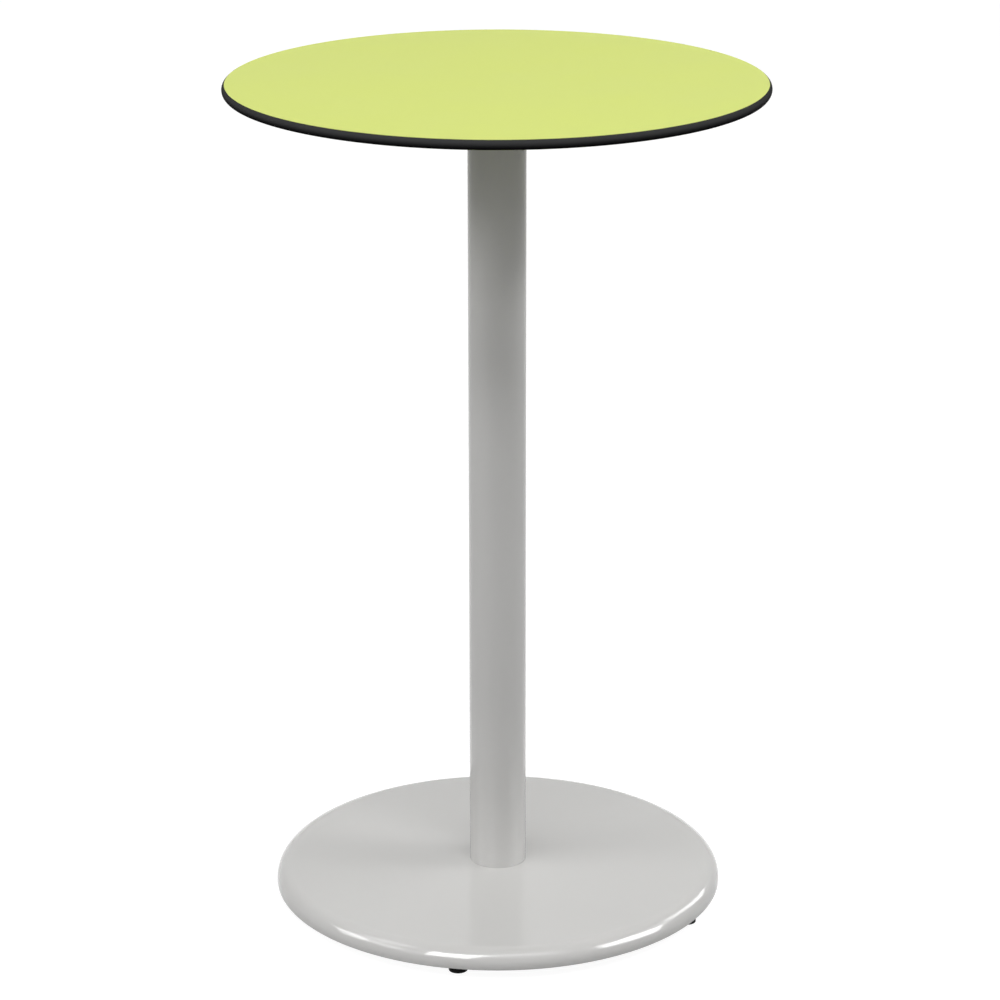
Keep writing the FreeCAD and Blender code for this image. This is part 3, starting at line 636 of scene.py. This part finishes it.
def buildBaseCover(size):
    wall = size["wall"]
    edge = size["lipEdge"]
    lipCentre = coverLow.z + edge
    flat = size["radius"] - size["shoulder"]
    bend = coverHigh.z - size["shoulder"]
    profile = [ring(size["rodHole"], coverHigh.z), ring(flat - size["support"], coverHigh.z),
               *arc(flat, bend, size["shoulder"], 90, 0, size["shoulderSteps"]),
               *arc(size["radius"] - edge, lipCentre, edge, 0, -90, size["lipSteps"]),
               *arc(size["radius"] - wall + edge, lipCentre, edge, -90, -180, size["lipSteps"]),
               *arc(flat, bend, size["shoulder"] - wall, 0, 90, size["shoulderSteps"]),
               ring(flat - size["support"], coverHigh.z - wall),
               ring(size["rodHole"], coverHigh.z - wall)]
    cover = turn("baseCover", profile, frameCoat, size["segments"])
    hand(cover, "table", "frame_coat", "base_cover")


buildBaseCover(baseCover)
print("base cover made")


# tie rod, lower nut and washer, seen from below in the ballast's well
rodLow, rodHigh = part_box("tie_rod")
nutLow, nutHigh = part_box("rod_nut_lower")
plateLow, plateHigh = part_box("rod_washer_lower")
tieRod = {"radius": rodHigh.x, "pitch": 1.75 * mm, "threadDepth": 0.95 * mm, "threaded": 30 * mm,
          "runOut": 1 * mm, "perTurn": 8, "chamfer": 1 * mm, "segments": 48}
rodNut = {"halfFlats": nutHigh.x, "faceShare": 0.94, "coneSteps": 5, "bore": 6 * mm,
          "flareWidth": 0.4 * mm, "flareDepth": 0.6 * mm, "segments": 72}
rodWasher = {"radius": plateHigh.x, "hole": 6.5 * mm, "edge": 0.4 * mm, "edgeSteps": 4,
             "segments": 72}


def threadRings(radius, low, high, spacing):
    count = max(2, round((high - low) / spacing))
    return [ring(radius, low + (high - low) * n / count, threadShare=1) for n in range(count + 1)]


def hexRings(half, low, high, faceShare, steps):
    # a hexagon whose corners are cut at both ends by a 30 degree cone, which leaves a round face
    face = half * faceShare
    corner = half / math.cos(hexSector / 2)
    depth = (corner - face) * math.tan(math.radians(30))
    cone = [(face + (corner - face) * n / steps, depth * n / steps) for n in range(steps + 1)]
    lowEnd = [ring(half, low + drop, 1, limit) for limit, drop in cone]
    highEnd = [ring(half, high - drop, 1, limit) for limit, drop in reversed(cone)]
    return lowEnd + highEnd


def buildTieRod(size):
    radius = size["radius"]
    cut = size["chamfer"]
    spacing = size["pitch"] / size["perTurn"]
    lowStop = rodLow.z + size["threaded"]
    highStart = rodHigh.z - size["threaded"]
    profile = [ring(0, rodLow.z), ring(radius - cut, rodLow.z),
               *threadRings(radius, rodLow.z + cut, lowStop, spacing),
               ring(radius, lowStop + size["runOut"]), ring(radius, highStart - size["runOut"]),
               *threadRings(radius, highStart, rodHigh.z - cut, spacing),
               ring(radius - cut, rodHigh.z), ring(0, rodHigh.z)]
    rod = turn("tieRod", profile, zincSteel, size["segments"], closed=False, pitch=size["pitch"],
               depth=size["threadDepth"])
    hand(rod, "table", "zinc_steel", "tie_rod")


def buildRodNut(size):
    bore = size["bore"]
    flare = bore + size["flareWidth"]
    sides = hexRings(size["halfFlats"], nutLow.z, nutHigh.z, size["faceShare"], size["coneSteps"])
    profile = [ring(flare, nutLow.z), *sides, ring(flare, nutHigh.z),
               ring(bore, nutHigh.z - size["flareDepth"]), ring(bore, nutLow.z + size["flareDepth"])]
    nut = turn("rodNut", profile, zincSteel, size["segments"])
    hand(nut, "table", "zinc_steel", "rod_nut_lower")


def buildRodWasher(size):
    edge = size["edge"]
    profile = [ring(size["hole"], plateLow.z),
               *arc(size["radius"] - edge, plateLow.z + edge, edge, -90, 0, size["edgeSteps"]),
               *arc(size["radius"] - edge, plateHigh.z - edge, edge, 0, 90, size["edgeSteps"]),
               ring(size["hole"], plateHigh.z)]
    washer = turn("rodWasher", profile, zincSteel, size["segments"])
    hand(washer, "table", "zinc_steel", "rod_washer_lower")


buildTieRod(tieRod)
buildRodNut(rodNut)
buildRodWasher(rodWasher)
print("tie rod made")


# levelling feet: a plastic pad that swivels on a threaded stud with a spanner collar
footCount = 5
footPad = {"lowerEdge": 1 * mm, "lowerSteps": 5, "upperEdge": 2 * mm, "upperSteps": 8,
           "support": 0.2 * mm, "hole": 3.05 * mm, "holeEdge": 0.3 * mm, "pinGap": 0.3 * mm,
           "segments": 96}
footStud = {"pin": 3 * mm, "pinEdge": 0.4 * mm, "pinLength": 4 * mm, "collarHalfFlats": 6.5 * mm,
            "collarHeight": 5 * mm, "faceShare": 0.94, "coneSteps": 4, "thread": 4 * mm,
            "undercut": 0.5 * mm, "pitch": 1.25 * mm, "threadDepth": 0.6 * mm, "perTurn": 8,
            "tipChamfer": 0.8 * mm, "segments": 72}


def buildPad(name, size, low, high, pinEnd):
    radius = (high.x - low.x) / 2
    lower = size["lowerEdge"]
    upper = size["upperEdge"]
    holeEnd = pinEnd - size["pinGap"]
    profile = [ring(0, low.z), ring(radius - lower - size["support"], low.z),
               *arc(radius - lower, low.z + lower, lower, -90, 0, size["lowerSteps"]),
               *arc(radius - upper, high.z - upper, upper, 0, 90, size["upperSteps"]),
               ring(radius - upper - size["support"], high.z),
               ring(size["hole"] + size["holeEdge"], high.z),
               ring(size["hole"], high.z - size["holeEdge"]),
               ring(size["hole"], holeEnd), ring(0, holeEnd)]
    return turn(name, profile, footPlastic, size["segments"], closed=False)


def buildStud(name, size, low, high):
    pin = size["pin"]
    collar = low.z + size["pinLength"]
    seat = collar + size["collarHeight"]
    threadTop = high.z - size["tipChamfer"]
    sides = hexRings(size["collarHalfFlats"], collar, seat, size["faceShare"], size["coneSteps"])
    profile = [ring(0, low.z), ring(pin - size["pinEdge"], low.z), ring(pin, low.z + size["pinEdge"]),
               ring(pin, collar), *sides, ring(size["thread"] - size["threadDepth"], seat),
               *threadRings(size["thread"], seat + size["undercut"], threadTop,
                            size["pitch"] / size["perTurn"]),
               ring(size["thread"] - size["tipChamfer"], high.z), ring(0, high.z)]
    return turn(name, profile, zincSteel, size["segments"], closed=False, pitch=size["pitch"],
                depth=size["threadDepth"])


def buildFoot(number):
    padLow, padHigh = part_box(f"foot_{number}_pad")
    studLow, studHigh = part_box(f"foot_{number}_stud")
    middle = (padLow + padHigh) / 2
    shift = Matrix.Translation((middle.x, middle.y, 0))
    pad = buildPad(f"foot{number}Pad", footPad, padLow, padHigh, studLow.z)
    pad.data.transform(shift)
    hand(pad, f"foot_{number}_pad", "foot_plastic", f"foot_{number}_pad")
    stud = buildStud(f"foot{number}Stud", footStud, studLow, studHigh)
    stud.data.transform(shift)
    hand(stud, f"foot_{number}_stud", "zinc_steel", f"foot_{number}_stud")


for number in range(1, footCount + 1):
    buildFoot(number)
print("feet made")


# floor: just below the feet's lowest reach. Seen directly it glows and takes a faint shadow, and
# light on its way to the table meets the darker bounce colour.
feetTravel = max(joint["range_m"][1] for joint in frame["joints"] if joint["type"] == "slide")
floorGap = 0.2 * mm
stage = {"height": -feetTravel - floorGap, "radius": 30.0, "segments": 64, "bounce": 0.12,
         "glow": 0.945, "shadowShare": 0.16}
sky = {"seen": 1.0, "lowLight": 0.816, "highLight": 0.016}
# azimuth 0 is on the camera's side and 90 on its right, in degrees; power in watts
lamps = [{"name": "frontLeftBox", "azimuth": -31, "elevation": 54, "size": (2.4, 0.9), "power": 78},
         {"name": "rightBox", "azimuth": 81, "elevation": 41.5, "size": (2.4, 1.0), "power": 94},
         {"name": "leftPanel", "azimuth": -72, "elevation": 36, "size": (4.2, 2.2), "power": 147},
         {"name": "leftFrontPanel", "azimuth": -50, "elevation": 32, "size": (4.2, 2.2), "power": 50},
         {"name": "frontPanel", "azimuth": 25, "elevation": 45, "size": (4.2, 1.9), "power": 23},
         {"name": "frontHighPanel", "azimuth": 12, "elevation": 60, "size": (4.8, 2.2), "power": 181},
         {"name": "rightPanel", "azimuth": 95, "elevation": 36, "size": (4.2, 2.2), "power": 95}]
# these are seen only in glossy surfaces, as the bright strips on the cover's shoulder; a positive
# tilt, in degrees, raises the panel's side of greater azimuth
glints = [{"name": "glintLeft", "azimuth": -84.5, "elevation": 29.5, "size": (2.25, 2.95), "tilt": 38,
           "power": 229},
          {"name": "glintLeftHigh", "azimuth": -83, "elevation": 54, "size": (2.8, 2.4), "power": 105},
          {"name": "glintFrontLeft", "azimuth": -27, "elevation": 45.5, "size": (3.1, 4.0), "power": 775},
          {"name": "glintRight", "azimuth": 78, "elevation": 32, "size": (4.74, 3.1), "tilt": -26,
           "power": 968},
          {"name": "glintRightBack", "azimuth": 124.5, "elevation": 26, "size": (4.0, 1.8), "tilt": -47,
           "power": 200}]
lampDistance = 8.0
lampTarget = Vector((0, 0, 0.3))


def grey(value):
    return (value, value, value, 1)


def seenDirectly(tree):
    # 1 for what the camera sees straight, in a mirror or through glass, 0 for light that bounces
    path = addNode(tree, "ShaderNodeLightPath").outputs
    either = mathNode(tree, "MAXIMUM", path["Is Camera Ray"], path["Is Glossy Ray"])
    return mathNode(tree, "MAXIMUM", either, path["Is Transmission Ray"])


def buildFloor(size):
    mesh = bpy.data.meshes.new("floor")
    work = bmesh.new()
    bmesh.ops.create_circle(work, cap_ends=True, radius=size["radius"], segments=size["segments"])
    bmesh.ops.translate(work, verts=work.verts, vec=(0, 0, size["height"]))
    work.to_mesh(mesh)
    work.free()
    material = bpy.data.materials.new("paleFloor")
    material.use_nodes = True
    tree = material.node_tree
    tree.nodes.clear()
    bounce = addNode(tree, "ShaderNodeBsdfDiffuse", {"Color": grey(size["bounce"])})
    shaded = addNode(tree, "ShaderNodeBsdfDiffuse", {"Color": grey(size["shadowShare"])})
    glow = addNode(tree, "ShaderNodeEmission", {"Strength": size["glow"]})
    pale = addNode(tree, "ShaderNodeAddShader", {0: shaded.outputs[0], 1: glow.outputs[0]})
    mix = addNode(tree, "ShaderNodeMixShader", {0: seenDirectly(tree), 1: bounce.outputs[0],
                                                2: pale.outputs[0]})
    addNode(tree, "ShaderNodeOutputMaterial", {"Surface": mix.outputs[0]})
    mesh.materials.append(material)
    newPiece("floor", mesh)


def buildSky(size):
    # white where it is seen, and a light that fades from the horizon up
    world = bpy.data.worlds.new("softStudio")
    world.use_nodes = True
    scene.world = world
    tree = world.node_tree
    tree.nodes.clear()
    way = addNode(tree, "ShaderNodeTexCoord").outputs["Generated"]
    up = addNode(tree, "ShaderNodeSeparateXYZ", {0: way}).outputs["Z"]
    rise = addNode(tree, "ShaderNodeMapRange", {"Value": up, "To Min": size["lowLight"],
                                                "To Max": size["highLight"]})
    light = addNode(tree, "ShaderNodeBackground", {"Color": grey(1), "Strength": rise.outputs[0]})
    seen = addNode(tree, "ShaderNodeBackground", {"Color": grey(1), "Strength": size["seen"]})
    mix = addNode(tree, "ShaderNodeMixShader", {0: seenDirectly(tree), 1: light.outputs[0],
                                                2: seen.outputs[0]})
    addNode(tree, "ShaderNodeOutputWorld", {"Surface": mix.outputs[0]})


def buildLamp(size, inDiffuse):
    data = bpy.data.lights.new(size["name"], "AREA")
    data.shape = "RECTANGLE"
    data.size, data.size_y = size["size"]
    data.energy = size["power"]
    lamp = newPiece(size["name"], data)
    azimuth = math.radians(size["azimuth"])
    elevation = math.radians(size["elevation"])
    away = Vector((math.sin(azimuth) * math.cos(elevation), -math.cos(azimuth) * math.cos(elevation),
                   math.sin(elevation)))
    lamp.location = lampTarget + away * lampDistance
    lamp.rotation_mode = "QUATERNION"
    upright = (-away).to_track_quat("-Z", "Y")
    lamp.rotation_quaternion = upright @ Quaternion((0, 0, 1), math.radians(size.get("tilt", 0)))
    lamp.visible_camera = False
    lamp.visible_diffuse = inDiffuse


buildFloor(stage)
buildSky(sky)
for lamp in lamps:
    buildLamp(lamp, inDiffuse=True)
for glint in glints:
    buildLamp(glint, inDiffuse=False)
scene.view_settings.view_transform = "Standard"
print("stage and light made")


# camera: angles in degrees, lens and sensor in millimetres
camera = {"distance": 4.402963, "height": 2.009216, "pitchDown": 18.365, "yawRight": 0.0442,
          "roll": -0.06, "lens": 126.27, "sensor": 36.0, "nearest": 0.1, "furthest": 100.0}


def buildCamera(size):
    data = bpy.data.cameras.new("camera")
    data.lens = size["lens"]
    data.sensor_width = size["sensor"]
    data.clip_start = size["nearest"]
    data.clip_end = size["furthest"]
    eye = newPiece("camera", data)
    eye.rotation_mode = "QUATERNION"
    turned = (Matrix.Rotation(-math.radians(size["yawRight"]), 3, "Z")
              @ Matrix.Rotation(math.radians(90 - size["pitchDown"]), 3, "X")
              @ Matrix.Rotation(math.radians(size["roll"]), 3, "Z"))
    eye.rotation_quaternion = turned.to_quaternion()
    eye.location = (0, -size["distance"], size["height"])
    scene.camera = eye


buildCamera(camera)
print("camera made")

bpy.context.view_layer.update()
